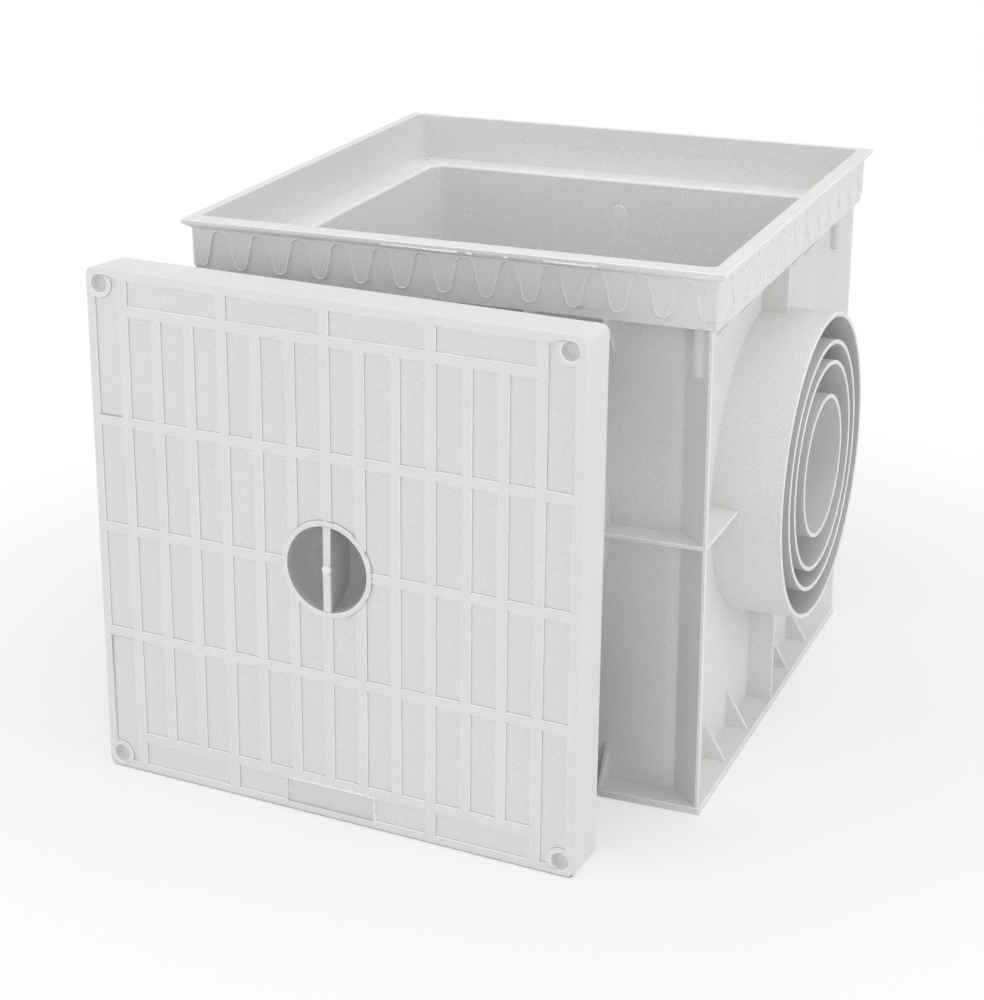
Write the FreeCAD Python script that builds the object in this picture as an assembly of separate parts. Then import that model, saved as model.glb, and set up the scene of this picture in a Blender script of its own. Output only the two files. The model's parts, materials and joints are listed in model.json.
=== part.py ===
import FreeCAD, Part
import math
import os

# An inspection pit moulded in plastic: a square chamber with four concentric pipe tubes on each side,
# and its lift-off cover, which stands on edge on the ground in front of the chamber.
# Millimetres, +Z up. The origin is the middle of the chamber's base. The front is -Y.

# Chamber, overall
FACES = 4
HEIGHT = 422.0
RIM_OPENING = 400.0
LEDGE_WIDTH = 26.0
WALL = 5.0
WALL_CORNER = 16.0
FLOOR = 5.0
FLANGE_OVERHANG = 22.0
FLANGE = 5.8
FLANGE_CORNER = 2.0

# Rim that takes the cover
RIM_WALL = 4.0
LEDGE = 6.0
LEDGE_CHAMFER = 1.5
LIP_REACH = 6.4
LIP_HEIGHT = 8.5
LIP_EDGE = 3.0
LIP_CROWN = 1.6
LIP_FLAT = 3.0
BAND_CORNER = 2.5

# Scalloped relief on the outside of the rim
TONGUES_A_SIDE = 5
TONGUE_CORNER = 7.2
TONGUE_ROOT = 22.0
TONGUE_TIP = 9.0
TONGUE_ABOVE_BAND = 6.5
TONGUE_BELOW_LIP = 1.0
TONGUE_PROUD = 1.2

# Pipe tubes
COLLAR_BELOW_BAND = 43.0
COLLAR_LENGTH = 54.0
TUBE_DIAMETERS = (242.0, 199.0, 167.0, 113.5)
TUBE_WALL = 3.3

# Stiffening of the walls
RIB_SETBACK = 1.5
FIN = 3.5
SHELF = 3.0
SHELF_ABOVE_AXIS = 1.5
CENTRE_RIB = 3.2
GUSSET = 2.6
GUSSET_SPACING = 60.0
GUSSETS_A_SIDE = 2
FOOT_SETBACK = 4.0
KNEE_SETBACK = 1.5
GUSSET_HEIGHT = 31.0
POST_DIAMETER = 12.0
POST_LENGTH = 38.0
PILOT_DIAMETER = 3.2
PILOT_DEPTH = 36.0

# Flat strip up the middle of each inner wall
STRIP_WIDTH = 12.0
STRIP_PROUD = 0.8
STRIP_BELOW_LEDGE = 22.0

# Cover
COVER_THICKNESS = 40.0
COVER_PROUD = 2.0
COVER_GAP = 0.6
COVER_DRAFT = 1.7
COVER_CORNER = 6.0
COVER_CHAMFER = 1.2
COVER_SKIN = 4.5
COVER_WALL = 4.0
UNDER_RIB = 3.0
UNDER_RIB_SHORT = 3.0
UNDER_RIB_COLUMNS = 2
COVER_X = -52.2
COVER_STANDOFF = 34.8
COVER_TURN = -4.2

# Sunk panels of the cover's face
PANEL_COLUMNS = 14
PANEL_ROWS = 4
PANEL_MARGIN = 7.5
PANEL_RIB = 8.3
PANEL_DEPTH = 1.2
STRIP_PANEL_HEIGHT = 18.0
STRIP_PANEL_COLUMNS = 3
NAMEPLATE_WIDTH = 75.0
NAMEPLATE_HEIGHT = 20.0
NAMEPLATE_DEPTH = 1.7

# Bowl of the grip in the middle of the cover: its radius at each depth, and what is round it
GRIP_BOWL = ((33.0, 0.0), (31.5, 10.0), (27.0, 19.0), (19.0, 25.5), (0.0, 29.0))
GRIP_RING = 4.0
GRIP_RING_PROUD = 0.8
CUP_FLOOR_DIAMETER = 54.0
CUP_FLOOR = 3.0
WEB = 6.5
GATE_DIAMETER = 7.4
GATE_PROUD = 1.4

# Corner dimples of the cover, where a screw is driven through a thin floor into the hole below it
SCREW_INSET = 11.5
SCREW_RING_DIAMETER = 21.0
DIMPLE_DIAMETER = 14.4
DIMPLE_FLOOR_DIAMETER = 9.8
DIMPLE_DEPTH = 4.5
DIMPLE_FLOOR = 2.0
SCREW_HOLE_DIAMETER = 5.5

# How far one solid is let into the next before they are fused, and how near counts as equal
BITE = 1.0
NEAR = 1e-3

# Values that follow from the sizes above
quarter = 360 / FACES
diagonal = math.sqrt(2)
inside_half = RIM_OPENING / 2 - LEDGE_WIDTH
inside_corner = WALL_CORNER - WALL
wall_half = inside_half + WALL
flange_half = wall_half + FLANGE_OVERHANG
band_half = RIM_OPENING / 2 + RIM_WALL
seat_depth = COVER_THICKNESS - COVER_PROUD
ledge_z = HEIGHT - seat_depth
band_bottom = ledge_z - LEDGE
lip_root = HEIGHT - LIP_HEIGHT
tongue_pitch = (band_half - TONGUE_CORNER) / (TONGUES_A_SIDE + 1)
rib_reach = FLANGE_OVERHANG - RIB_SETBACK
collar_radius = TUBE_DIAMETERS[0] / 2
collar_z = band_bottom - COLLAR_BELOW_BAND - collar_radius
slope = math.tan(math.radians(COVER_DRAFT))
cover_side = RIM_OPENING - 2 * COVER_GAP
cover_half = cover_side / 2
cover_under_half = cover_half - COVER_THICKNESS * slope
screw_place = cover_half - SCREW_INSET
column_pitch = (cover_side - 2 * PANEL_MARGIN + PANEL_RIB) / PANEL_COLUMNS
rows_side = cover_side - 2 * (PANEL_MARGIN + STRIP_PANEL_HEIGHT) - PANEL_RIB
row_pitch = rows_side / PANEL_ROWS
row_height = row_pitch - PANEL_RIB
grip_radius, grip_depth = GRIP_BOWL[0][0], GRIP_BOWL[-1][1]
ring_radius = grip_radius + GRIP_RING
cover_y = -(wall_half + COLLAR_LENGTH + COVER_STANDOFF + COVER_THICKNESS)


def vec(x, y, z=0.0):
    return FreeCAD.Vector(x, y, z)


def outline(corners):
    """Closed flat wire through (x, y, radius) corners, each rounded by its own radius."""
    starts, ends, middles = [], [], []
    for i, (x, y, radius) in enumerate(corners):
        here = vec(x, y)
        back = (vec(*corners[i - 1][:2]) - here).normalize()
        ahead = (vec(*corners[(i + 1) % len(corners)][:2]) - here).normalize()
        if radius <= 0:
            starts.append(here)
            ends.append(here)
            middles.append(None)
            continue
        half_angle = back.getAngle(ahead) / 2
        run = radius / math.tan(half_angle)
        inward = (back + ahead).normalize()
        starts.append(here + back * run)
        ends.append(here + ahead * run)
        middles.append(here + inward * (radius / math.sin(half_angle) - radius))
    edges = []
    for i in range(len(corners)):
        if middles[i] is not None:
            edges.append(Part.Arc(starts[i], middles[i], ends[i]).toShape())
        following = starts[(i + 1) % len(corners)]
        if (following - ends[i]).Length > NEAR:
            edges.append(Part.LineSegment(ends[i], following).toShape())
    return Part.Wire(edges)


def square(half, radius=0.0):
    return rectangle(-half, -half, half, half, radius)


def rectangle(x0, y0, x1, y1, radius=0.0):
    return outline([(x0, y0, radius), (x1, y0, radius), (x1, y1, radius), (x0, y1, radius)])


def raised(shape, z):
    return shape.translated(vec(0, 0, z))


def prism(wire, z0, z1):
    return raised(Part.Face(wire), z0).extrude(vec(0, 0, z1 - z0))


def tapered(sections):
    """Straight-sided solid through (wire, z) sections."""
    return Part.makeLoft([raised(wire, z) for wire, z in sections], True, True)


def cylinder(diameter, x, y, z0, z1):
    return Part.makeCylinder(diameter / 2, z1 - z0, vec(x, y, z0))


def on_front(shape, half):
    """Stand a shape drawn flat against the front face: its Y goes up and its Z goes outwards."""
    stood = shape.rotated(vec(0, 0), vec(1, 0), 90)
    return stood.translated(vec(0, -half))


def all_round(shapes):
    """Copies of front-face shapes on the four faces."""
    return [s.rotated(vec(0, 0), vec(0, 0, 1), quarter * k) for k in range(FACES) for s in shapes]


def fused(shapes):
    return shapes[0].multiFuse(shapes[1:]).removeSplitter()


def rim_block():
    """Band and flared lip, still solid inside."""
    band = prism(square(band_half, BAND_CORNER), band_bottom, lip_root + BITE)
    lip_half = band_half + LIP_REACH
    crown_half = RIM_OPENING / 2 + LIP_FLAT
    lip = tapered([
        (square(band_half - BITE), lip_root - BITE),
        (square(lip_half), HEIGHT - LIP_CROWN - LIP_EDGE),
        (square(lip_half), HEIGHT - LIP_CROWN),
        (square(crown_half), HEIGHT),
    ])
    return [band, lip]


def tongue_outline():
    """Scalloped lower edge with a straight top under the lip; the end tongues run on to the corners."""
    reach = band_half + TONGUE_PROUD
    tip_z = band_bottom + TONGUE_ABOVE_BAND
    gap_z = lip_root - TONGUE_BELOW_LIP
    left_flank = [(-TONGUE_ROOT / 2, gap_z), (-TONGUE_TIP / 2, tip_z)]
    right_flank = [(-x, z) for x, z in reversed(left_flank)]
    ends = TONGUES_A_SIDE + 1
    corners = [(reach, lip_root), (-reach, lip_root), (-reach, tip_z)]
    for k in range(-ends, ends + 1):
        flanks = left_flank + right_flank
        if k == -ends:
            flanks = right_flank
        if k == ends:
            flanks = left_flank
        corners += [(k * tongue_pitch + x, z) for x, z in flanks]
    corners.append((reach, tip_z))
    return outline([(x, z, 0) for x, z in corners])


def tongues():
    """Raised scallops on the four faces of the band, rounded with its corners."""
    plates = all_round([on_front(prism(tongue_outline(), -BITE, TONGUE_PROUD), band_half)])
    corners = prism(square(band_half + TONGUE_PROUD, BAND_CORNER + TONGUE_PROUD), band_bottom, HEIGHT)
    return [plate.common(corners) for plate in plates]


def corner_fins():
    """Upright plates that run out from the wall corners to the flange corners."""
    tip = wall_half + rib_reach
    root = wall_half - WALL_CORNER / 2
    section = rectangle(diagonal * root, -FIN / 2, diagonal * (tip + FIN), FIN / 2)
    plate = prism(section, FLANGE - BITE, band_bottom + BITE)
    plates = [plate.rotated(vec(0, 0), vec(0, 0, 1), quarter * (k + 0.5)) for k in range(FACES)]
    inside_tips = prism(square(tip), 0, HEIGHT)
    return [p.common(inside_tips) for p in plates]


def shelf():
    """Level rib round the walls at the height of the tubes' axes, open where the tubes are."""
    top = collar_z + SHELF_ABOVE_AXIS
    ring = prism(square(wall_half + rib_reach), top - SHELF, top)
    bore = on_front(cylinder(2 * (collar_radius - BITE), 0, collar_z, 0, COLLAR_LENGTH), wall_half)
    return ring.cut(all_round([bore]))


def centre_ribs():
    """Upright ribs from the flange to the outer tube, and from the tube to the rim."""
    runs = [
        (FLANGE - BITE, collar_z - collar_radius + BITE),
        (collar_z + collar_radius - BITE, band_bottom + BITE),
    ]
    ribs = []
    for low, high in runs:
        section = rectangle(-CENTRE_RIB / 2, low, CENTRE_RIB / 2, high)
        ribs.append(on_front(prism(section, -BITE, rib_reach), wall_half))
    return ribs


def gusset(x, seat, reach, rise):
    """Thin triangle against the wall at x, reaching out along the level seat and rising by rise."""
    sink = -math.copysign(BITE, rise)
    left = x - GUSSET / 2
    corners = [
        vec(left, seat + sink, -BITE),
        vec(left, seat + sink, reach),
        vec(left, seat, reach),
        vec(left, seat + rise, 0),
        vec(left, seat + rise, -BITE),
    ]
    plate = Part.Face(Part.makePolygon(corners + corners[:1])).extrude(vec(GUSSET, 0))
    return on_front(plate, wall_half)


def gussets():
    steps = [k for k in range(-GUSSETS_A_SIDE, GUSSETS_A_SIDE + 1) if k != 0]
    foot_reach = FLANGE_OVERHANG - FOOT_SETBACK
    knee_reach = band_half - wall_half - KNEE_SETBACK
    feet = [gusset(k * GUSSET_SPACING, FLANGE, foot_reach, GUSSET_HEIGHT) for k in steps]
    knees = [gusset(k * GUSSET_SPACING, band_bottom, knee_reach, -GUSSET_HEIGHT) for k in steps]
    return feet + knees


def collar():
    """Four concentric tubes on the front wall, with their rims level."""
    tubes = []
    for diameter in TUBE_DIAMETERS:
        outer = cylinder(diameter, 0, collar_z, -BITE, COLLAR_LENGTH)
        bore = cylinder(diameter - 2 * TUBE_WALL, 0, collar_z, -2 * BITE, COLLAR_LENGTH + BITE)
        tubes.append(on_front(outer.cut(bore), wall_half))
    return tubes


def wall_strip():
    """Round-topped flat strip up the middle of the front wall's inner face."""
    half = STRIP_WIDTH / 2
    crown = ledge_z - STRIP_BELOW_LEDGE - half
    shaft = prism(rectangle(-half, FLOOR - BITE, half, crown), -STRIP_PROUD, BITE)
    top = cylinder(STRIP_WIDTH, 0, crown, -STRIP_PROUD, BITE)
    return on_front(shaft.fuse(top), inside_half)


def screw_places():
    return [(sx * screw_place, sy * screw_place) for sx in (-1, 1) for sy in (-1, 1)]


def chamber():
    solid = [prism(square(wall_half, WALL_CORNER), 0, band_bottom + BITE)]
    solid += rim_block() + tongues()
    solid.append(prism(square(flange_half, FLANGE_CORNER), 0, FLANGE))
    solid += corner_fins()
    solid.append(shelf())
    solid += all_round(centre_ribs() + gussets())
    for x, y in screw_places():
        solid.append(cylinder(POST_DIAMETER, x, y, band_bottom - POST_LENGTH, band_bottom + BITE))
    body = fused(solid)

    seat_half = RIM_OPENING / 2 - seat_depth * slope
    seat_corner = COVER_CORNER + COVER_GAP
    above = HEIGHT + BITE
    seat = tapered([
        (square(seat_half, seat_corner), ledge_z),
        (square(RIM_OPENING / 2 + BITE * slope, seat_corner), above),
    ])
    well = prism(square(inside_half, inside_corner), FLOOR, above)
    pilots = [cylinder(PILOT_DIAMETER, x, y, ledge_z - PILOT_DEPTH, above) for x, y in screw_places()]
    body = body.cut([seat, well] + pilots)
    body = body.makeChamfer(LEDGE_CHAMFER, ledge_edges(body))
    return fused([body] + all_round(collar() + [wall_strip()]))


def ledge_edges(body):
    """Inner edges of the ledge, where the well opens."""
    found = []
    for edge in body.Edges:
        box = edge.BoundBox
        level = abs(box.ZMin - ledge_z) < NEAR and abs(box.ZMax - ledge_z) < NEAR
        middle = edge.valueAt((edge.FirstParameter + edge.LastParameter) / 2)
        at_well = max(abs(middle.x), abs(middle.y)) < inside_half + NEAR
        if level and at_well:
            found.append(edge)
    return found


def column_left(column):
    return -cover_half + PANEL_MARGIN + column * column_pitch


def row_bottom(row):
    return (row - PANEL_ROWS / 2) * row_pitch + PANEL_RIB / 2


def panel_outlines():
    """Flat outlines of the sunk panels: the main grid, and the wide panels of the two end strips."""
    last = PANEL_COLUMNS - 1
    width = column_pitch - PANEL_RIB
    edge = cover_half - PANEL_MARGIN
    panels = []
    for column in range(PANEL_COLUMNS):
        for row in range(PANEL_ROWS):
            low = row_bottom(row)
            high = low + row_height
            if column in (0, last) and row == 0:
                low = -edge
            if column in (0, last) and row == PANEL_ROWS - 1:
                high = edge
            left = column_left(column)
            panels.append(rectangle(left, low, left + width, high))
    for first in range(1, last, STRIP_PANEL_COLUMNS):
        left = column_left(first)
        right = column_left(first + STRIP_PANEL_COLUMNS) - PANEL_RIB
        panels.append(rectangle(left, -edge, right, -edge + STRIP_PANEL_HEIGHT))
        panels.append(rectangle(left, edge - STRIP_PANEL_HEIGHT, right, edge))
    return panels


def panel_cuts():
    """The sunk panels, kept clear of the grip ring and the screw rings."""
    cuts = Part.makeCompound([prism(wire, -PANEL_DEPTH, BITE) for wire in panel_outlines()])
    lands = [cylinder(2 * ring_radius, 0, 0, -COVER_SKIN, 2 * BITE)]
    lands += [cylinder(SCREW_RING_DIAMETER, x, y, -COVER_SKIN, 2 * BITE) for x, y in screw_places()]
    return cuts.cut(lands)


def nameplate_cut():
    """Sunk bare plate in the middle of the bottom strip."""
    middle = -cover_half + PANEL_MARGIN + STRIP_PANEL_HEIGHT / 2
    half_width = NAMEPLATE_WIDTH / 2
    half_height = NAMEPLATE_HEIGHT / 2
    plate = rectangle(-half_width, middle - half_height, half_width, middle + half_height)
    return prism(plate, -NAMEPLATE_DEPTH, BITE)


def under_ribs(low, high):
    """Crossed ribs under the skin, in line with the level ribs and some upright ribs of the face."""
    reach = cover_under_half - COVER_WALL / 2
    half = UNDER_RIB / 2
    ribs = []
    for column in range(UNDER_RIB_COLUMNS, PANEL_COLUMNS, UNDER_RIB_COLUMNS):
        x = column_left(column) - PANEL_RIB / 2
        ribs.append(prism(rectangle(x - half, -reach, x + half, reach), low, high))
    for row in range(PANEL_ROWS + 1):
        y = row_bottom(row) - PANEL_RIB / 2
        ribs.append(prism(rectangle(-reach, y - half, reach, y + half), low, high))
    return ribs


def bowl(grown=0.0):
    """The grip's round hollow, open above the face, or the same bowl grown on all sides."""
    side = [vec(radius + grown, 0, -depth - grown) for radius, depth in GRIP_BOWL[:-1]]
    top = BITE + grown
    profile = [vec(0, 0, top), vec(grip_radius + grown, 0, top)] + side + [vec(0, 0, -grip_depth - grown)]
    return Part.Face(Part.makePolygon(profile + profile[:1])).revolve(vec(0, 0), vec(0, 0, 1), 360)


def cone(low_diameter, high_diameter, x, y, low, high):
    return Part.makeCone(low_diameter / 2, high_diameter / 2, high - low, vec(x, y, low))


def flat_cover():
    """The cover lying flat, with its face up at z = 0 and +Y towards its upper edge."""
    under = -COVER_THICKNESS
    shell = tapered([
        (square(cover_under_half, COVER_CORNER), under),
        (square(cover_half - COVER_CHAMFER * slope, COVER_CORNER), -COVER_CHAMFER),
        (square(cover_half - COVER_CHAMFER, COVER_CORNER - COVER_CHAMFER), 0),
    ])
    hollow = tapered([
        (square(cover_under_half - COVER_WALL - BITE * slope, COVER_CORNER - COVER_WALL), under - BITE),
        (square(cover_half - COVER_WALL - COVER_SKIN * slope, COVER_CORNER - COVER_WALL), -COVER_SKIN),
    ])
    shell = shell.cut(hollow)

    inside = [cone(CUP_FLOOR_DIAMETER, 2 * ring_radius, 0, 0, -grip_depth - CUP_FLOOR, -BITE)]
    inside += under_ribs(under + UNDER_RIB_SHORT, -COVER_SKIN + BITE)
    inside += [cylinder(SCREW_RING_DIAMETER, x, y, under, -BITE) for x, y in screw_places()]
    ring = cylinder(2 * ring_radius, 0, 0, -BITE, GRIP_RING_PROUD)
    body = fused([shell] + inside + [ring])

    widening = (DIMPLE_DIAMETER - DIMPLE_FLOOR_DIAMETER) / DIMPLE_DEPTH
    cuts = [panel_cuts(), nameplate_cut(), bowl()]
    for x, y in screw_places():
        wide = DIMPLE_DIAMETER + BITE * widening
        cuts.append(cone(DIMPLE_FLOOR_DIAMETER, wide, x, y, -DIMPLE_DEPTH, BITE))
        cuts.append(cylinder(SCREW_HOLE_DIAMETER, x, y, under - BITE, -DIMPLE_DEPTH - DIMPLE_FLOOR))
    body = body.cut(cuts)

    web = prism(rectangle(-WEB / 2, -ring_radius, WEB / 2, ring_radius), -grip_depth - BITE, 0)
    web = web.common(bowl(BITE))
    gate = cylinder(GATE_DIAMETER, 0, 0, -BITE, GATE_PROUD)
    return fused([body, web, gate])


def cover():
    """The cover on edge: its drafted lower side lies on the ground, so its face leans back by the draft."""
    stood = flat_cover().translated(vec(0, cover_half))
    stood = stood.rotated(vec(0, 0), vec(1, 0), 90 - COVER_DRAFT)
    stood = stood.rotated(vec(0, 0), vec(0, 0, 1), COVER_TURN)
    return stood.translated(vec(COVER_X, cover_y))


def main():
    os.makedirs("parts", exist_ok=True)
    for name, shape in (("chamber", chamber()), ("cover", cover())):
        solid = shape.Solids[0]
        print(name, len(shape.Solids), "solid, valid", solid.isValid(), round(solid.Volume / 1000), "cm3")
        solid.exportStep(f"parts/{name}.step")


main()
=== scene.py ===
"""Looks of a moulded plastic inspection pit and its lift-off cover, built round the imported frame."""

import json
import math

import bpy
import bmesh
from bpy.props import FloatProperty, FloatVectorProperty, IntProperty, PointerProperty
from mathutils import Matrix, Vector


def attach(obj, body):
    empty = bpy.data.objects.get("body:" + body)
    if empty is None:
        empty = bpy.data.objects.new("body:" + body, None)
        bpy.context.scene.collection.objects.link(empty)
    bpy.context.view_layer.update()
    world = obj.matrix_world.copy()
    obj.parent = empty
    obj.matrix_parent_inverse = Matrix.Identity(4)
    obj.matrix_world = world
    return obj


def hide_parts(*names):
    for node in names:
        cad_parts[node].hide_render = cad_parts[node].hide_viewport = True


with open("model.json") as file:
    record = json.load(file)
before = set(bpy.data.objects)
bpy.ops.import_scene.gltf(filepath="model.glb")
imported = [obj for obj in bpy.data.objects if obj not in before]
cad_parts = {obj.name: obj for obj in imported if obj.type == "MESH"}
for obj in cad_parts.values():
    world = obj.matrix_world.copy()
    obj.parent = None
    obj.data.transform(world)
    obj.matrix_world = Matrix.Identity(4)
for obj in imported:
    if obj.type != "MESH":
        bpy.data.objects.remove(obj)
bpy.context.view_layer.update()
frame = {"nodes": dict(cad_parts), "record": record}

bl_info = {
    "name": "Inspection pit",
    "version": (1, 0, 0),
    "blender": (4, 5, 0),
    "location": "View3D > Sidebar > Pit",
    "description": "Finishes the mouldings of an inspection pit and sets its stage",
    "category": "Object",
}

RECORD_SLOTS = {m["slot"]: m for m in frame["record"]["materials"]}
MM = 0.001

# Tolerances: for a measured place, for two points at one height, and for points to weld
NEAR = 0.05 * MM
HAIR = 0.01 * MM
WELD = 0.001 * MM

# Parts of each moulding's surface: how much paler or darker each is, and how deep its grain
# Some parts are paler or darker only as painted highlight, painted light or painted shade, as noted on each
CHAMBER_FINISHES = {
    "skin": (1.0, 0.4),
    # edge: painted highlight, a paler rounding on the outer edges
    "edge": (1.2, 0.1),
    # crease: painted shade in the rounded inner corners
    "crease": (0.94, 0.2),
    "groove": (1.0, 0.2),
    # bore: painted shade inside the tubes
    "bore": (0.86, 0.3),
    # well: painted light, a paler inside of the well, with a deeper grain
    "well": (1.05, 0.55),
}
COVER_FINISHES = {
    "skin": (1.0, 0.22),
    # edge: painted highlight, a paler rounding on the outer edges and slopes
    "edge": (1.2, 0.1),
    # crease: painted shade in the rounded inner corners, dark lines along the panels' edges
    "crease": (0.5, 0.2),
    "panel": (0.965, 0.3),
    # dimple: painted shade in the screw dimples
    "dimple": (0.87, 0.3),
    # bowl: painted shade in the grip's bowl
    "bowl": (0.64, 0.6),
    "gate": (1.14, 0.0),
    "plate": (0.92, 0.3),
    # foot: painted shadow, a dark line along the chamfer that the cover stands on
    "foot": (0.3, 0.2),
}
# Flash is real; its paler tone is a painted highlight, and it has no grain
FLASH_HIGHLIGHT = (1.22, 0.0)
SKIN, EDGE, SHADED_CREASE = range(3)
GROOVE, SHADED_BORE, LIT_WELL = range(SHADED_CREASE + 1, len(CHAMBER_FINISHES))
PANEL, SHADED_DIMPLE, SHADED_BOWL, GATE, PLATE, SHADED_FOOT = range(SHADED_CREASE + 1, len(COVER_FINISHES))

# Bends sharper than these are edges to round. The cover's limit is higher, to leave out its chamfer
CHAMBER_SHARP = math.radians(35)
COVER_SHARP = math.radians(50)

# Bends up to these belong to one face, one rounding and one smooth plate
SAME_FACE = math.radians(0.5)
SAME_ROUNDING = math.radians(8)
SAME_PLATE = math.radians(20)

# Rounding of the edges: its steps down on fine relief, the share of a plate's width that it may take, and the
# faces across the scallops' tips and the gate's nub
ROUND_LEVELS = (1.0, 0.75, 0.5, 0.3)
ROUND_SHARE = 0.4
TIP_STEPS = 5
GATE_STEPS = 4

# Limits of a face's normal along an axis, for upright and level faces, slopes, flat sides, the underside of
# the lip and the walls of the panels
UPRIGHT = 0.03
LEVEL = 0.99
SLOPE_LEAST, SLOPE_MOST = 0.3, 0.95
FLAT_SIDE = 0.98
LIP_FALL = -0.15
PANEL_WALL = 0.1

# Rim of the chamber: its band, the scallops that stand proud of it, and the flared lip above them
BAND_FACE = 204.0 * MM
BAND_LOW, BAND_CORNER = 378.0 * MM, 203.0 * MM
SCALLOP_FACE = 205.2 * MM
SCALLOP_FLANK = 1.3 * MM
SCALLOP_LOW, SCALLOP_HIGH = 380.0 * MM, 413.0 * MM
SCALLOP_END, SCALLOP_CORNER = 196.0 * MM, 202.0 * MM
LIP_FACE = 210.4 * MM
LIP_LOW, LIP_EDGE = 413.5 * MM, 417.4 * MM

# Inside of the chamber: its walls, the strips up them, the floor, and the ledge with its pilot holes
WELL_FACE = 174.0 * MM
STRIP_FACE = 173.2 * MM
STRIP_HALF = 6.0 * MM
WELL_LOW, WELL_HIGH = 5.5 * MM, 383.0 * MM
LEDGE_FACE = 384.0 * MM
PILOT_RADIUS = 1.6 * MM

# Nested tubes: the wall they stand on, their mouths, their axis and the inside of the widest
WALL_FACE = 179.0 * MM
TUBE_MOUTH = 233.0 * MM
TUBE_AXIS = 214.0 * MM
TUBE_RADIUS = 117.7 * MM

# Place of the cover: the middle of its face, how it is turned and how it leans back
COVER_MIDDLE = Vector((-51.77, -301.9, 199.31)) * MM
COVER_TURN = math.radians(-4.2)
COVER_LEAN = math.radians(1.7)
COVER_AXES = Matrix.Rotation(COVER_TURN, 3, "Z") @ Matrix.Rotation(math.pi / 2 - COVER_LEAN, 3, "X")
COVER_HALF = 199.4 * MM

# Face of the cover: its panels and their shortest side, the bare plate, the grip's bowl, the screw dimples, the
# gate's nub and the chamfer that it stands on
PANEL_DEPTH = 1.2 * MM
SHORT_EDGE = 12.0 * MM
PLATE_DEPTH = 1.7 * MM
PLATE_HALF = 37.5 * MM
PLATE_LOW, PLATE_HIGH = -192.9 * MM, -172.9 * MM
BOWL_RADIUS = 33.0 * MM
BOWL_LOW, BOWL_HIGH = -30.0 * MM, -0.6 * MM
DIMPLE_PLACE = 187.9 * MM
DIMPLE_RADIUS = 7.3 * MM
DIMPLE_LOW, DIMPLE_HIGH = -5.0 * MM, -0.5 * MM
GATE_RADIUS = 3.7 * MM
GATE_LOW, GATE_PROUD = 0.2 * MM, 1.4 * MM
FOOT_HIGH = 4.0 * MM
FOOT_DOWN, FOOT_OUT = -0.4, 0.2

# Threads of flash along the lower edge of the front lip, as from, to and width in millimetres
LIP_THREADS = ((-47, -16, 0.9), (-15, 13, 1.5), (19, 24, 1.3), (48, 51, 1.6), (78, 118, 1.5))
LIP_FACING = Vector((0, -0.8, 0.6))

# Threads of flash round the bare plate, as from, to, the way each faces, width and seed
PLATE_THREADS = (
    ((-PLATE_HALF, PLATE_HIGH), (PLATE_HALF, PLATE_HIGH), Vector((0, 0.6, 0.8)), 1.8 * MM, 7),
    ((PLATE_HALF, PLATE_LOW), (PLATE_HALF, PLATE_HIGH), Vector((0.5, 0, 0.86)), 1.3 * MM, 8),
)
FLASH_THICKNESS = 0.5 * MM
FLASH_RAGGED = 0.3

# Plastic: the size and detail of its slow drift and its grain, and how far they change the tone and roughness
DRIFT_SCALE, DRIFT_DETAIL = 9.0, 3.0
GRAIN_SCALE, GRAIN_DETAIL = 800.0, 2.0
DRIFT_TONE, DRIFT_ROUGH, GRAIN_ROUGH = 0.05, 0.08, 0.06
PLASTIC_IOR = 1.49

# Floor: its white, how far off it turns into plain background, and the background's share near and far
FLOOR_WHITE = (0.95, 0.95, 0.95, 1)
PLAIN_WHITE = (1, 1, 1, 1)
FLOOR_NEAR, FLOOR_FAR = 0.35, 0.75
PLAIN_NEAR, PLAIN_FAR = 0.5, 0.99

# Soft lights, as place and size, and the point they are aimed at
LIGHTS = {
    "top_light": ((0.0, 0.0, 2.6), 3.6),
    "left_light": ((-1.9, -1.6, 1.1), 2.0),
    "right_light": ((2.2, -0.2, 1.1), 2.4),
    "front_light": ((0.5, -2.6, 1.1), 2.4),
}
LIGHT_AIM = Vector((0, -0.1, 0.2))

# Camera: its place, the directions of its picture and the height of its sensor in millimetres
CAMERA_PLACE = Vector((0.6254, -1.6264, 0.8288))
CAMERA_RIGHT = Vector((0.92444, 0.38130, -0.00405))
CAMERA_UP = Vector((-0.13464, 0.33633, 0.93207))
CAMERA_SENSOR = 36


def slot_colour(slot, tone):
    """The record's colour of a material, made a little paler or darker."""
    return tuple(tone * level for level in RECORD_SLOTS[slot]["base_color"])


class Shade:
    """One socket of a material's nodes, which takes part in sums like a number."""

    def __init__(self, socket):
        self.socket = socket

    @staticmethod
    def node(tree, kind, settings=None, inputs=None, output=0):
        """Adds a node, makes its settings, then fills or links its sockets, and gives one output."""
        made = tree.nodes.new(kind)
        for name, value in (settings or {}).items():
            setattr(made, name, value)
        for name, value in (inputs or {}).items():
            socket = made.inputs[name]
            if isinstance(value, Shade):
                tree.links.new(value.socket, socket)
            else:
                socket.default_value = value
        return Shade(made.outputs[output]) if made.outputs else made

    def maths(self, operation, first, second):
        """A sum of two values, of which at least one is a socket."""
        tree = self.socket.id_data
        return Shade.node(tree, "ShaderNodeMath", {"operation": operation}, {0: first, 1: second})

    def __add__(self, other):
        return self.maths("ADD", self, other)

    def __radd__(self, other):
        return self.maths("ADD", other, self)

    def __sub__(self, other):
        return self.maths("SUBTRACT", self, other)

    def __rsub__(self, other):
        return self.maths("SUBTRACT", other, self)

    def __mul__(self, other):
        return self.maths("MULTIPLY", self, other)

    def __rmul__(self, other):
        return self.maths("MULTIPLY", other, self)


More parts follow.
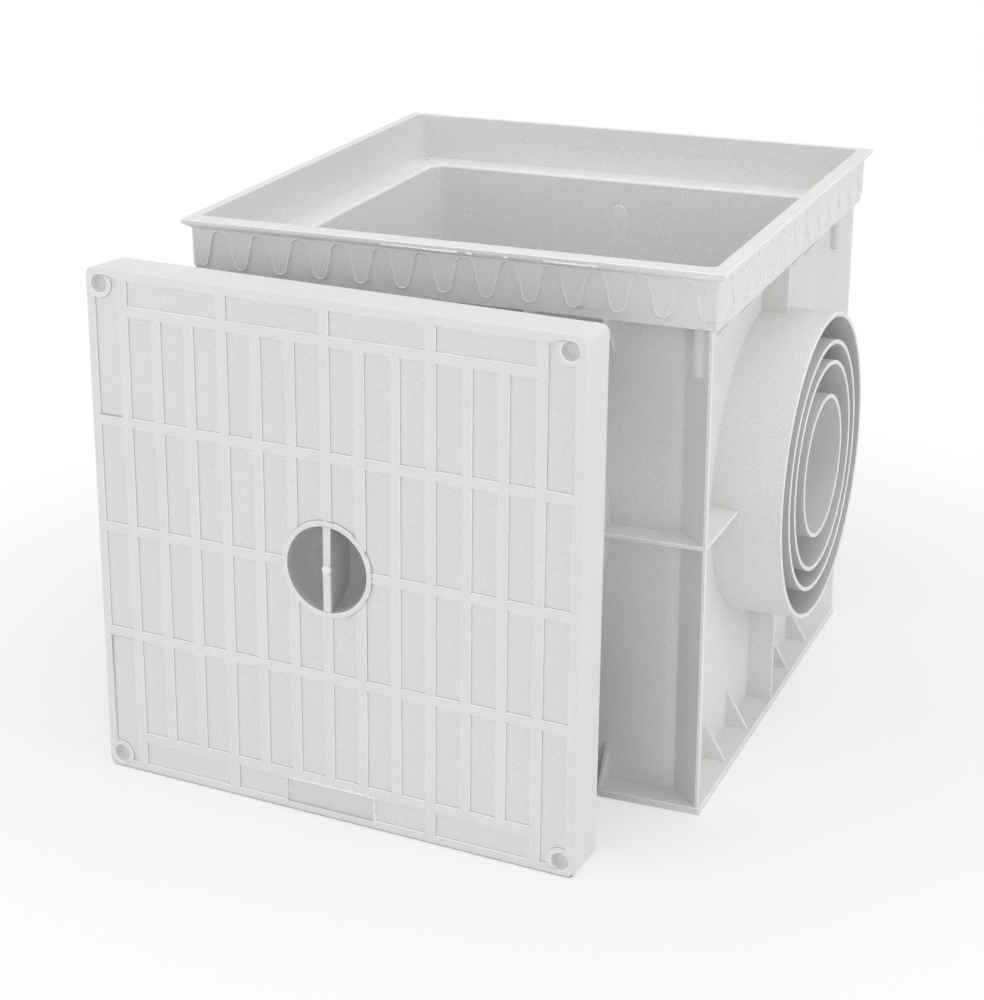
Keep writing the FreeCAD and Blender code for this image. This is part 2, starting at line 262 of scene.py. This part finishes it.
class PitFinish(bpy.types.PropertyGroup):
    """Colours and surface of the two mouldings."""

    chamber_colour: FloatVectorProperty(
        name="Chamber", description="Colour of the chamber's plastic", subtype="COLOR",
        default=slot_colour("chamber_grey", 1.08), min=0, max=1)
    cover_colour: FloatVectorProperty(
        name="Cover", description="Colour of the cover's plastic", subtype="COLOR",
        default=slot_colour("cover_grey", 1.0), min=0, max=1)
    roughness: FloatProperty(
        name="Roughness", description="Roughness of the moulded skin", subtype="FACTOR",
        default=0.52, min=0, max=1)
    grain: FloatProperty(
        name="Grain", description="Depth of the spark-eroded grain", unit="LENGTH",
        default=0.06 * MM, min=0, max=MM)


class PitEdges(bpy.types.PropertyGroup):
    """Rounding that moulding leaves on the edges."""

    chamber_round: FloatProperty(
        name="Chamber edges", description="Rounding of the chamber's edges", unit="LENGTH",
        default=0.55 * MM, min=0.1 * MM, max=1.5 * MM)
    cover_round: FloatProperty(
        name="Cover edges", description="Rounding of the cover's edges", unit="LENGTH",
        default=0.5 * MM, min=0.1 * MM, max=0.55 * MM)
    panel_slope: FloatProperty(
        name="Panel edges", description="Slope along the edges of the cover's sunk panels", unit="LENGTH",
        default=0.5 * MM, min=0.1 * MM, max=0.6 * MM)
    tongue_round: FloatProperty(
        name="Tongue tips", description="Rounding of the scallops on the rim", unit="LENGTH",
        default=4.1 * MM, min=0.5 * MM, max=4.2 * MM)
    tongue_slope: FloatProperty(
        name="Tongue flanks", description="Slope along the scallops' outline", unit="LENGTH",
        default=1.0 * MM, min=0.1 * MM, max=1.0 * MM)
    tongue_bead: FloatProperty(
        name="Tongue bead", description="Height of the bead along the scallops' outline", unit="LENGTH",
        default=0.95 * MM, min=0, max=1.5 * MM)
    strip_slope: FloatProperty(
        name="Strip edges", description="Slope along the strips up the inner walls", unit="LENGTH",
        default=0.7 * MM, min=0.1 * MM, max=0.75 * MM)
    gate_dome: FloatProperty(
        name="Gate nub", description="Rounding of the nub on the grip's web", unit="LENGTH",
        default=1.1 * MM, min=0.1 * MM, max=1.3 * MM)
    steps: IntProperty(
        name="Steps", description="Faces across each rounded edge", default=2, min=1, max=6)


class PitStage(bpy.types.PropertyGroup):
    """Floor, lights and camera."""

    floor_reach: FloatProperty(
        name="Floor", description="Half the side of the floor", unit="LENGTH", default=14.0, min=2)
    sky: FloatProperty(name="Sky", description="Strength of the even light", default=0.33, min=0)
    top_light: FloatProperty(
        name="Top light", description="Power of the top light", unit="POWER", default=35.0, min=0)
    left_light: FloatProperty(
        name="Left light", description="Power of the left light", unit="POWER", default=14.0, min=0)
    right_light: FloatProperty(
        name="Right light", description="Power of the right light", unit="POWER", default=18.0, min=0)
    front_light: FloatProperty(
        name="Front light", description="Power of the front light", unit="POWER", default=11.0, min=0)
    lens: FloatProperty(name="Lens", description="Focal length in millimetres", default=80.92, min=20)


def settings():
    """The values of the finish, the edges and the stage."""
    return bpy.context.scene.pit_finish, bpy.context.scene.pit_edges, bpy.context.scene.pit_stage


def clear_selection():
    """Leaves edit mode and deselects every object."""
    if bpy.context.mode != "OBJECT":
        bpy.ops.object.mode_set(mode="OBJECT")
    bpy.ops.object.select_all(action="DESELECT")


def make_active(piece):
    """Selects one object alone."""
    clear_selection()
    piece.select_set(True)
    bpy.context.view_layer.objects.active = piece


def start_editing(piece):
    """Selects one object alone and goes into edit mode."""
    make_active(piece)
    bpy.ops.object.mode_set(mode="EDIT")


def pick(piece, kind, wanted):
    """In edit mode, selects the vertices, edges or faces for which wanted is true, and counts them."""
    bpy.ops.mesh.select_mode(type={"verts": "VERT", "edges": "EDGE", "faces": "FACE"}[kind])
    bpy.ops.mesh.select_all(action="DESELECT")
    shape = bmesh.from_edit_mesh(piece.data)
    found = [part for part in getattr(shape, kind) if wanted(part)]
    for part in found:
        part.select_set(True)
    shape.select_flush_mode()
    bmesh.update_edit_mesh(piece.data)
    return len(found)


def paint(piece, slot, wanted):
    """In edit mode, gives one of the piece's materials to the faces for which wanted is true."""
    if pick(piece, "faces", wanted):
        piece.active_material_index = slot
        bpy.ops.object.material_slot_assign()


def moulding_from(node, name):
    """Copy of a CAD node with its loose triangles joined into whole faces."""
    make_active(frame["nodes"][node])
    bpy.ops.object.duplicate()
    piece = bpy.context.object
    piece.name = name
    piece.data.name = name
    bpy.ops.object.mode_set(mode="EDIT")
    bpy.ops.mesh.select_all(action="SELECT")
    bpy.ops.mesh.remove_doubles(threshold=WELD)
    bpy.ops.mesh.customdata_custom_splitnormals_clear()
    bpy.ops.mesh.dissolve_limited(angle_limit=SAME_FACE, use_dissolve_boundaries=False, delimit=set())
    bpy.ops.object.mode_set(mode="OBJECT")
    return piece


def plate_widths(piece):
    """In edit mode, the width of the smooth plate that each face is part of, as if that were a long strip."""
    shape = bmesh.from_edit_mesh(piece.data)
    widths = {}
    for first in shape.faces:
        if first.index in widths:
            continue
        plate, queue, rim = {first}, [first], 0.0
        while queue:
            face = queue.pop()
            for edge in face.edges:
                if edge.calc_face_angle(math.pi) > SAME_PLATE:
                    rim += edge.calc_length()
                    continue
                beyond = [other for other in edge.link_faces if other not in plate]
                plate.update(beyond)
                queue.extend(beyond)
        width = 2 * sum(face.calc_area() for face in plate) / rim
        widths.update({face.index: width for face in plate})
    return widths


def round_edges(piece, width, steps, sharp, crisp, plain=None):
    """Rounds the real edges, fine relief by less, and paints the new faces: a painted highlight on outer edges
    and painted shade in inner corners.

    Faces for which crisp is true stay flat, and edges for which plain is true stay sharp.
    """
    start_editing(piece)
    widths = plate_widths(piece)
    last = math.inf
    for level in ROUND_LEVELS:
        def suits(edge):
            if len(edge.link_faces) != 2 or edge.calc_face_angle(0) < sharp or (plain and plain(edge)):
                return False
            room = ROUND_SHARE * min(widths[face.index] for face in edge.link_faces) / width
            return level <= room < last or (level == ROUND_LEVELS[-1] and room < level)
        if pick(piece, "edges", suits):
            bpy.ops.transform.edge_bevelweight(value=level)
        last = level
    bpy.ops.mesh.select_all(action="SELECT")
    bpy.ops.mesh.quads_convert_to_tris(quad_method="BEAUTY", ngon_method="BEAUTY")
    bpy.ops.object.mode_set(mode="OBJECT")
    rounding = piece.modifiers.new("rounding", "BEVEL")
    rounding.width = width
    rounding.segments = steps
    rounding.limit_method = "WEIGHT"
    rounding.use_clamp_overlap = False
    # The rounding faces take the paler edge material, a painted highlight
    rounding.material = EDGE
    bpy.ops.object.modifier_apply(modifier=rounding.name)
    bpy.ops.object.mode_set(mode="EDIT")
    # Painted shade: the rounding in inner corners takes the darker crease material
    paint(piece, SHADED_CREASE, in_crease)
    bpy.ops.object.mode_set(mode="OBJECT")
    bpy.ops.object.shade_smooth()
    bpy.ops.object.mode_set(mode="EDIT")
    pick(piece, "faces", crisp)
    bpy.ops.mesh.faces_shade_flat()
    bpy.ops.object.mode_set(mode="OBJECT")
    evening = piece.modifiers.new("evening", "WEIGHTED_NORMAL")
    evening.mode = "FACE_AREA"
    evening.weight = 100
    evening.keep_sharp = True
    bpy.ops.object.modifier_apply(modifier=evening.name)


def in_crease(face):
    """True for a face of a rounded inner corner."""
    if face.material_index != EDGE:
        return False
    bends = [edge for edge in face.edges if edge.is_manifold and edge.calc_face_angle(0) > SAME_ROUNDING]
    hollow = sum(edge.calc_length() for edge in bends if not edge.is_convex)
    return hollow > sum(edge.calc_length() for edge in bends) / 2


def reach_of(point):
    """How far a point is from the chamber's middle, towards the nearest side."""
    return max(abs(point.x), abs(point.y))


def aside_of(point):
    """How far a point is along its side, from the middle of that side."""
    return min(abs(point.x), abs(point.y))


def side_of(face):
    """How far a face is from the chamber's middle, and how squarely it faces that way or back."""
    place = face.calc_center_median()
    return max((abs(place[axis]), abs(face.normal[axis])) for axis in (0, 1))


def round_tongues(piece, radius, slope, bead):
    """Rounds the tips and roots of the scallops on the rim's four sides, and raises a bead round them."""
    def on_tongue(edge):
        if edge.calc_length() > SCALLOP_FLANK or edge.calc_face_angle(0) < CHAMBER_SHARP:
            return False
        first, second = (vert.co for vert in edge.verts)
        inner, outer = sorted((reach_of(first), reach_of(second)))
        on_flank = abs(inner - BAND_FACE) < NEAR and abs(outer - SCALLOP_FACE) < NEAR
        return abs(first.z - second.z) < HAIR and on_flank and SCALLOP_LOW < first.z < SCALLOP_HIGH

    def on_outline(edge):
        proud = all(abs(reach_of(v.co) - SCALLOP_FACE) < NEAR for v in edge.verts)
        low = all(SCALLOP_LOW < v.co.z < SCALLOP_HIGH for v in edge.verts)
        return proud and low and edge.calc_face_angle(0) > CHAMBER_SHARP and edge.is_convex and across(edge)

    def across(edge):
        """Not one of the edges round the corners of the rim."""
        return all(aside_of(v.co) < SCALLOP_CORNER for v in edge.verts)

    start_editing(piece)
    if not pick(piece, "edges", on_tongue):
        raise RuntimeError("no scallop was found on the rim")
    bpy.ops.mesh.bevel(offset=radius, segments=TIP_STEPS, affect="EDGES", clamp_overlap=True)
    pick(piece, "edges", on_outline)
    # The slopes along the outline take the paler edge material, a painted highlight
    bpy.ops.mesh.bevel(offset=slope, segments=2, affect="EDGES", clamp_overlap=False, material=EDGE)
    crest = SCALLOP_FACE - slope * (1 - math.sqrt(0.5))
    for axis, way in ((0, 1), (0, -1), (1, 1), (1, -1)):
        def on_crest(vert):
            low = SCALLOP_LOW < vert.co.z < SCALLOP_HIGH and abs(vert.co[1 - axis]) < SCALLOP_END
            return low and abs(way * vert.co[axis] - crest) < NEAR
        if not pick(piece, "verts", on_crest):
            raise RuntimeError("no outline was found round the scallops")
        bpy.ops.transform.translate(value=[way * bead if i == axis else 0 for i in range(3)])
    bpy.ops.object.mode_set(mode="OBJECT")


def on_bead(face):
    """True for the slopes along a scallop's outline."""
    place = face.calc_center_median()
    reach, out = side_of(face)
    on_rim = BAND_FACE + NEAR < reach < LIP_FACE and SCALLOP_LOW < place.z < SCALLOP_HIGH
    return on_rim and out < FLAT_SIDE and aside_of(place) < SCALLOP_END


def on_band(face):
    """True for the upright faces of the rim's band, of its round corners and of the scallops on it."""
    place = face.calc_center_median()
    outside = reach_of(place) > BAND_CORNER
    return outside and abs(face.normal.z) < UPRIGHT and BAND_LOW < place.z < LIP_LOW


def on_ledge(face):
    """True for the flat top of the ledge that the cover rests on."""
    return face.normal.z > LEVEL and abs(face.calc_center_median().z - LEDGE_FACE) < NEAR


def by_pilot(edge):
    """True for the rim of a screw's pilot hole in the ledge."""
    return all(math.hypot(abs(v.co.x) - DIMPLE_PLACE, abs(v.co.y) - DIMPLE_PLACE) < PILOT_RADIUS + NEAR
               for v in edge.verts)


def slope_strips(piece, slope):
    """Slopes the edges of the flat strips up the inner walls."""
    def on_rim(edge):
        proud = all(abs(reach_of(v.co) - STRIP_FACE) < NEAR for v in edge.verts)
        narrow = all(aside_of(v.co) < STRIP_HALF + NEAR for v in edge.verts)
        return proud and narrow and edge.is_convex and edge.calc_face_angle(0) > CHAMBER_SHARP

    start_editing(piece)
    if not pick(piece, "edges", on_rim):
        raise RuntimeError("no strip was found on the inner walls")
    # The slopes take the paler edge material, a painted highlight
    bpy.ops.mesh.bevel(
        offset=slope, segments=1, affect="EDGES", clamp_overlap=False, loop_slide=False, material=EDGE)
    bpy.ops.object.mode_set(mode="OBJECT")


def by_strip(face):
    """True for the slope along the edge of a strip."""
    reach, out = side_of(face)
    beside = aside_of(face.calc_center_median()) < STRIP_HALF + NEAR
    return STRIP_FACE < reach < WELL_FACE and beside and SLOPE_LEAST < out < SLOPE_MOST


def stays_flat(face):
    """True for the chamber's narrow slopes, and for the flat faces round its fine relief."""
    return on_bead(face) or on_band(face) or on_ledge(face) or by_strip(face)


def in_well(face):
    """True for the inner walls below the ledge, and the floor."""
    place = face.calc_center_median()
    inside = reach_of(place) < WELL_FACE + NEAR
    return face.material_index == SKIN and inside and WELL_LOW < place.z < WELL_HIGH


def under_lip(face):
    """True for the sloped underside of the rim's lip, and the rounding at its root."""
    place = face.calc_center_median()
    low = LIP_LOW - MM < place.z < LIP_EDGE
    return low and BAND_FACE < reach_of(place) < LIP_FACE and face.normal.z < LIP_FALL


def in_tubes(face):
    """True for the walls inside the widest tube of a side, and the chamber's wall behind them."""
    place = face.calc_center_median()
    inside = math.hypot(aside_of(place), place.z - TUBE_AXIS) < TUBE_RADIUS + NEAR
    return face.material_index == SKIN and WALL_FACE - NEAR < reach_of(place) < TUBE_MOUTH - MM and inside


def by_scallop(face):
    """True for a crease at the foot of a scallop."""
    place = face.calc_center_median()
    on_flank = BAND_FACE - NEAR < reach_of(place) < SCALLOP_FACE + NEAR
    return face.material_index == SHADED_CREASE and on_flank and SCALLOP_LOW < place.z < SCALLOP_HIGH


def fresh_nodes(made):
    """The emptied nodes of a material or a world."""
    made.use_nodes = True
    made.node_tree.nodes.clear()
    return made.node_tree


def coat(piece, moulding, colour, finishes):
    """Gives a moulding a material for each part of its surface."""
    piece.data.materials.clear()
    for part, (lift, depth) in finishes.items():
        piece.data.materials.append(moulded_plastic(f"{moulding}_{part}", colour, lift, depth))


def moulded_plastic(name, colour, lift, depth):
    """Matt polypropylene with a slow drift of tone and a spark-eroded grain, made paler or darker by lift."""
    finish = settings()[0]
    made = bpy.data.materials.new(name)
    tree = fresh_nodes(made)
    place = Shade.node(tree, "ShaderNodeTexCoord", output="Object")
    drift, grain = (
        Shade.node(tree, "ShaderNodeTexNoise", None, {"Vector": place, "Scale": scale, "Detail": detail})
        for scale, detail in ((DRIFT_SCALE, DRIFT_DETAIL), (GRAIN_SCALE, GRAIN_DETAIL)))
    tone = lift * (1 + DRIFT_TONE * (drift - 0.5) + depth * (grain - 0.5))
    shade = Shade.node(tree, "ShaderNodeVectorMath", {"operation": "SCALE"}, {0: colour, "Scale": tone})
    rough = finish.roughness + DRIFT_ROUGH * (drift - 0.5) + GRAIN_ROUGH * (grain - 0.5)
    bump = Shade.node(tree, "ShaderNodeBump", None, {
        "Height": grain, "Strength": depth, "Distance": finish.grain})
    surface = Shade.node(tree, "ShaderNodeBsdfPrincipled", None, {
        "Base Color": shade, "Roughness": rough, "Normal": bump, "IOR": PLASTIC_IOR})
    Shade.node(tree, "ShaderNodeOutputMaterial", None, {"Surface": surface})
    return made


class PIT_OT_chamber(bpy.types.Operator):
    """Chamber moulding with rounded scallops and edges"""

    bl_idname = "pit.chamber"
    bl_label = "Chamber"
    bl_options = {"UNDO"}

    def execute(self, context):
        finish, edges, _ = settings()
        piece = moulding_from("chamber", "chamber_moulding")
        coat(piece, "chamber", finish.chamber_colour, CHAMBER_FINISHES)
        round_tongues(piece, edges.tongue_round, edges.tongue_slope, edges.tongue_bead)
        slope_strips(piece, edges.strip_slope)
        round_edges(piece, edges.chamber_round, edges.steps, CHAMBER_SHARP, stays_flat, by_pilot)
        bpy.ops.object.mode_set(mode="EDIT")
        paint(piece, GROOVE, by_scallop)
        # Painted light: the shaded underside of the lip takes the paler edge material
        paint(piece, EDGE, under_lip)
        # Painted shade: the walls inside the tubes and behind them are darker
        paint(piece, SHADED_BORE, in_tubes)
        # Painted light: the inner walls and floor are paler; their grain is deeper
        paint(piece, LIT_WELL, in_well)
        bpy.ops.object.mode_set(mode="OBJECT")
        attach(piece, "root")
        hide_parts("chamber")
        return {"FINISHED"}


def on_cover(point):
    """A point's place on the cover: across its face, up it and out from it."""
    return COVER_AXES.transposed() @ (point - COVER_MIDDLE)


def facing_on_cover(face):
    """The way a face looks: across the cover, up it and out from it."""
    return COVER_AXES.transposed() @ face.normal


def from_cover(across, up):
    """The point at a place on the cover's face."""
    return COVER_MIDDLE + COVER_AXES @ Vector((across, up, 0))


def on_panel(face):
    """True for the floor of a sunk panel."""
    return face.material_index == SKIN and all(abs(on_cover(v.co).z + PANEL_DEPTH) < NEAR for v in face.verts)


def on_plate(face):
    """True for the floor of the bare plate in the bottom strip."""
    return face.material_index == SKIN and all(abs(on_cover(v.co).z + PLATE_DEPTH) < NEAR for v in face.verts)


def on_foot(face):
    """True for the chamfer along the edge that the cover stands on."""
    place, facing = on_cover(face.calc_center_median()), facing_on_cover(face)
    return place.y < FOOT_HIGH - COVER_HALF and facing.y < FOOT_DOWN and facing.z > FOOT_OUT


def in_dimple(face):
    """True for the wall and floor of a screw dimple in a corner of the face."""
    place = on_cover(face.calc_center_median())
    aside = Vector((abs(place.x) - DIMPLE_PLACE, abs(place.y) - DIMPLE_PLACE))
    sunk = DIMPLE_LOW < place.z < DIMPLE_HIGH
    return face.material_index != EDGE and sunk and aside.length < DIMPLE_RADIUS


def in_bowl(face):
    """True for the wall of the grip's bowl, below its mouth, and the sides of its web."""
    place = on_cover(face.calc_center_median())
    sunk = BOWL_LOW < place.z < BOWL_HIGH
    return face.material_index != EDGE and sunk and place.xy.length < BOWL_RADIUS + NEAR


def on_gate(face):
    """True for the nub that the mould's gate leaves on the grip's web."""
    place = on_cover(face.calc_center_median())
    return place.z > GATE_LOW and place.xy.length < GATE_RADIUS + NEAR


def slope_panels(piece, width):
    """Slopes the edges of the face's sunk panels and of its bare plate."""
    def on_rim(edge):
        walls = [face for face in edge.link_faces if abs(facing_on_cover(face).z) < PANEL_WALL]
        level = all(abs(on_cover(v.co).z) < NEAR for v in edge.verts)
        if len(walls) != 1 or not level or not edge.is_convex:
            return False
        depth = -min(on_cover(v.co).z for v in walls[0].verts)
        return depth < PLATE_DEPTH + NEAR and edge.calc_length() > SHORT_EDGE

    start_editing(piece)
    if not pick(piece, "edges", on_rim):
        raise RuntimeError("no panel was found on the cover")
    # The slopes take the paler edge material, a painted highlight
    bpy.ops.mesh.bevel(
        offset=width, segments=1, affect="EDGES", clamp_overlap=False, loop_slide=False, material=EDGE)
    bpy.ops.object.mode_set(mode="OBJECT")


def by_panel(face):
    """True for the slope along the edge of a sunk panel."""
    sunk = -PLATE_DEPTH < on_cover(face.calc_center_median()).z < -NEAR
    return face.material_index == EDGE and sunk and SLOPE_LEAST < facing_on_cover(face).z < SLOPE_MOST


def dome_gate(piece, radius):
    """Rounds the top of the gate's nub."""
    def on_rim(edge):
        places = [on_cover(v.co) for v in edge.verts]
        return all(abs(p.z - GATE_PROUD) < NEAR and abs(p.xy.length - GATE_RADIUS) < 2 * NEAR for p in places)

    start_editing(piece)
    if not pick(piece, "edges", on_rim):
        raise RuntimeError("no gate was found on the cover")
    bpy.ops.mesh.bevel(offset=radius, segments=GATE_STEPS, affect="EDGES", clamp_overlap=True)
    bpy.ops.object.mode_set(mode="OBJECT")


class PIT_OT_cover(bpy.types.Operator):
    """Cover moulding with rounded edges and grained panels"""

    bl_idname = "pit.cover"
    bl_label = "Cover"
    bl_options = {"UNDO"}

    def execute(self, context):
        finish, edges, _ = settings()
        piece = moulding_from("cover", "cover_moulding")
        coat(piece, "cover", finish.cover_colour, COVER_FINISHES)
        dome_gate(piece, edges.gate_dome)
        slope_panels(piece, edges.panel_slope)
        round_edges(piece, edges.cover_round, edges.steps, COVER_SHARP, by_panel)
        bpy.ops.object.mode_set(mode="EDIT")
        paint(piece, PANEL, on_panel)
        # Painted shade: the screw dimples are darker
        paint(piece, SHADED_DIMPLE, in_dimple)
        # Painted shade: the grip's bowl and the sides of its web are darker
        paint(piece, SHADED_BOWL, in_bowl)
        paint(piece, GATE, on_gate)
        paint(piece, PLATE, on_plate)
        # Painted shadow: the chamfer that the cover stands on is dark
        paint(piece, SHADED_FOOT, on_foot)
        bpy.ops.object.mode_set(mode="OBJECT")
        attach(piece, "root")
        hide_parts("cover")
        return {"FINISHED"}


def flash_thread(start, end, facing, width, seed):
    """Ragged thread of plastic along a line, turned to face one way."""
    along = (end - start).normalized()
    side = facing.cross(along).normalized()
    length = (end - start).length
    clear_selection()
    bpy.ops.mesh.primitive_grid_add(x_subdivisions=max(3, round(length / MM)), y_subdivisions=2, size=1)
    thread = bpy.context.object
    bpy.ops.object.mode_set(mode="EDIT")
    bpy.ops.mesh.select_all(action="SELECT")
    bpy.ops.transform.resize(value=(length, width, 1))
    bpy.ops.transform.vertex_random(offset=FLASH_RAGGED * width, uniform=0.5, normal=0.0, seed=seed)
    bpy.ops.object.mode_set(mode="OBJECT")
    body = thread.modifiers.new("body", "SOLIDIFY")
    body.thickness = FLASH_THICKNESS
    bpy.ops.object.modifier_apply(modifier=body.name)
    turn = Matrix((along, side, along.cross(side))).transposed().to_4x4()
    thread.matrix_world = Matrix.Translation((start + end) / 2) @ turn
    bpy.ops.object.transform_apply(location=True, rotation=True, scale=True)
    return thread


def join_threads(threads, name, colour):
    """Makes one piece of the threads on a moulding."""
    make_active(threads[0])
    for thread in threads[1:]:
        thread.select_set(True)
    bpy.ops.object.join()
    piece = bpy.context.object
    piece.name = name
    piece.data.name = name
    piece.data.materials.clear()
    # The threads' paler tone is a painted highlight
    piece.data.materials.append(moulded_plastic(name, colour, *FLASH_HIGHLIGHT))
    bpy.ops.object.shade_smooth_by_angle(angle=COVER_SHARP)
    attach(piece, "root")


class PIT_OT_flash(bpy.types.Operator):
    """Threads of flash left by the mould on the lip and round the bare plate"""

    bl_idname = "pit.flash"
    bl_label = "Flash"
    bl_options = {"UNDO"}

    def execute(self, context):
        finish, _, _ = settings()
        lip = []
        for seed, (start, end, width) in enumerate(LIP_THREADS):
            ends = [Vector((along * MM, -LIP_FACE, LIP_EDGE)) for along in (start, end)]
            lip.append(flash_thread(*ends, LIP_FACING, width * MM, seed))
        join_threads(lip, "lip_flash", finish.chamber_colour)
        plate = [flash_thread(from_cover(*start), from_cover(*end), COVER_AXES @ facing, width, seed)
                 for start, end, facing, width, seed in PLATE_THREADS]
        join_threads(plate, "plate_flash", finish.cover_colour)
        return {"FINISHED"}


def seen_plainly(tree):
    """1 for rays that show the background itself: from the camera, off a gloss or through glass."""
    kinds = ("Is Camera Ray", "Is Glossy Ray", "Is Transmission Ray")
    camera, glossy, through = (Shade.node(tree, "ShaderNodeLightPath", output=kind) for kind in kinds)
    return camera + glossy + through


def soft_box(name, place, size, power):
    """Round soft light, aimed at the middle of the object."""
    clear_selection()
    bpy.ops.object.light_add(type="AREA", location=place)
    lamp = bpy.context.object
    lamp.name = name
    lamp.data.shape = "DISK"
    lamp.data.size = size
    lamp.data.energy = power
    lamp.rotation_euler = (Vector(place) - LIGHT_AIM).to_track_quat("Z", "Y").to_euler()


def lay_floor(reach):
    """White floor that keeps the shadow near the object and turns into plain background farther off."""
    clear_selection()
    bpy.ops.mesh.primitive_plane_add(size=2 * reach)
    floor = bpy.context.object
    floor.name = "floor"
    made = bpy.data.materials.new("floor_white")
    tree = fresh_nodes(made)
    matt = Shade.node(tree, "ShaderNodeBsdfDiffuse", None, {"Color": FLOOR_WHITE})
    glow = Shade.node(tree, "ShaderNodeEmission", None, {"Color": PLAIN_WHITE, "Strength": 1.0})
    place = Shade.node(tree, "ShaderNodeTexCoord", output="Object")
    away = Shade.node(tree, "ShaderNodeVectorMath", {"operation": "LENGTH"}, {0: place}, output="Value")
    plain = Shade.node(tree, "ShaderNodeMapRange", {"interpolation_type": "SMOOTHSTEP"}, {
        "Value": away,
        "From Min": FLOOR_NEAR, "From Max": FLOOR_FAR, "To Min": PLAIN_NEAR, "To Max": PLAIN_FAR})
    share = plain * seen_plainly(tree)
    blend = Shade.node(tree, "ShaderNodeMixShader", None, {0: share, 1: matt, 2: glow})
    Shade.node(tree, "ShaderNodeOutputMaterial", None, {"Surface": blend})
    floor.data.materials.append(made)


def light_sky(scene, level):
    """Even light from all round, seen as plain white."""
    scene.world = bpy.data.worlds.new("studio")
    tree = fresh_nodes(scene.world)
    strength = level + (1.0 - level) * seen_plainly(tree)
    sky = Shade.node(tree, "ShaderNodeBackground", None, {"Color": PLAIN_WHITE, "Strength": strength})
    Shade.node(tree, "ShaderNodeOutputWorld", None, {"Surface": sky})


def place_camera(scene, lens):
    """Camera at the photo's angle."""
    bpy.ops.object.camera_add()
    camera = bpy.context.object
    camera.name = "photo_camera"
    turn = Matrix((CAMERA_RIGHT, CAMERA_UP, CAMERA_RIGHT.cross(CAMERA_UP))).transposed().to_4x4()
    camera.matrix_world = Matrix.Translation(CAMERA_PLACE) @ turn
    camera.data.lens = lens
    camera.data.sensor_fit = "VERTICAL"
    camera.data.sensor_height = CAMERA_SENSOR
    scene.camera = camera


class PIT_OT_stage(bpy.types.Operator):
    """Pale floor, soft lights and the camera"""

    bl_idname = "pit.stage"
    bl_label = "Stage"
    bl_options = {"UNDO"}

    def execute(self, context):
        _, _, stage = settings()
        lay_floor(stage.floor_reach)
        light_sky(context.scene, stage.sky)
        for name, (place, size) in LIGHTS.items():
            soft_box(name, place, size, getattr(stage, name))
        place_camera(context.scene, stage.lens)
        context.scene.view_settings.view_transform = "Standard"
        return {"FINISHED"}


class PIT_PT_sidebar(bpy.types.Panel):
    """Lists the pit's pieces and their values"""

    bl_idname = "PIT_PT_sidebar"
    bl_label = "Inspection pit"
    bl_space_type = "VIEW_3D"
    bl_region_type = "UI"
    bl_category = "Pit"

    def draw(self, context):
        for step in STEPS:
            self.layout.operator(step.bl_idname)
        for group in settings():
            for value in group.bl_rna.properties:
                if value.identifier in group.__annotations__:
                    self.layout.prop(group, value.identifier)


STEPS = (PIT_OT_chamber, PIT_OT_cover, PIT_OT_flash, PIT_OT_stage)
GROUPS = {"pit_finish": PitFinish, "pit_edges": PitEdges, "pit_stage": PitStage}


def register():
    for group in GROUPS.values():
        bpy.utils.register_class(group)
    for name, group in GROUPS.items():
        setattr(bpy.types.Scene, name, PointerProperty(type=group))
    for step in STEPS:
        bpy.utils.register_class(step)
    bpy.utils.register_class(PIT_PT_sidebar)


def unregister():
    bpy.utils.unregister_class(PIT_PT_sidebar)
    for step in reversed(STEPS):
        bpy.utils.unregister_class(step)
    for name in GROUPS:
        delattr(bpy.types.Scene, name)
    for group in GROUPS.values():
        bpy.utils.unregister_class(group)


def main():
    register()
    bpy.ops.pit.chamber()
    bpy.ops.pit.cover()
    bpy.ops.pit.flash()
    bpy.ops.pit.stage()


if __name__ == "__main__":
    main()
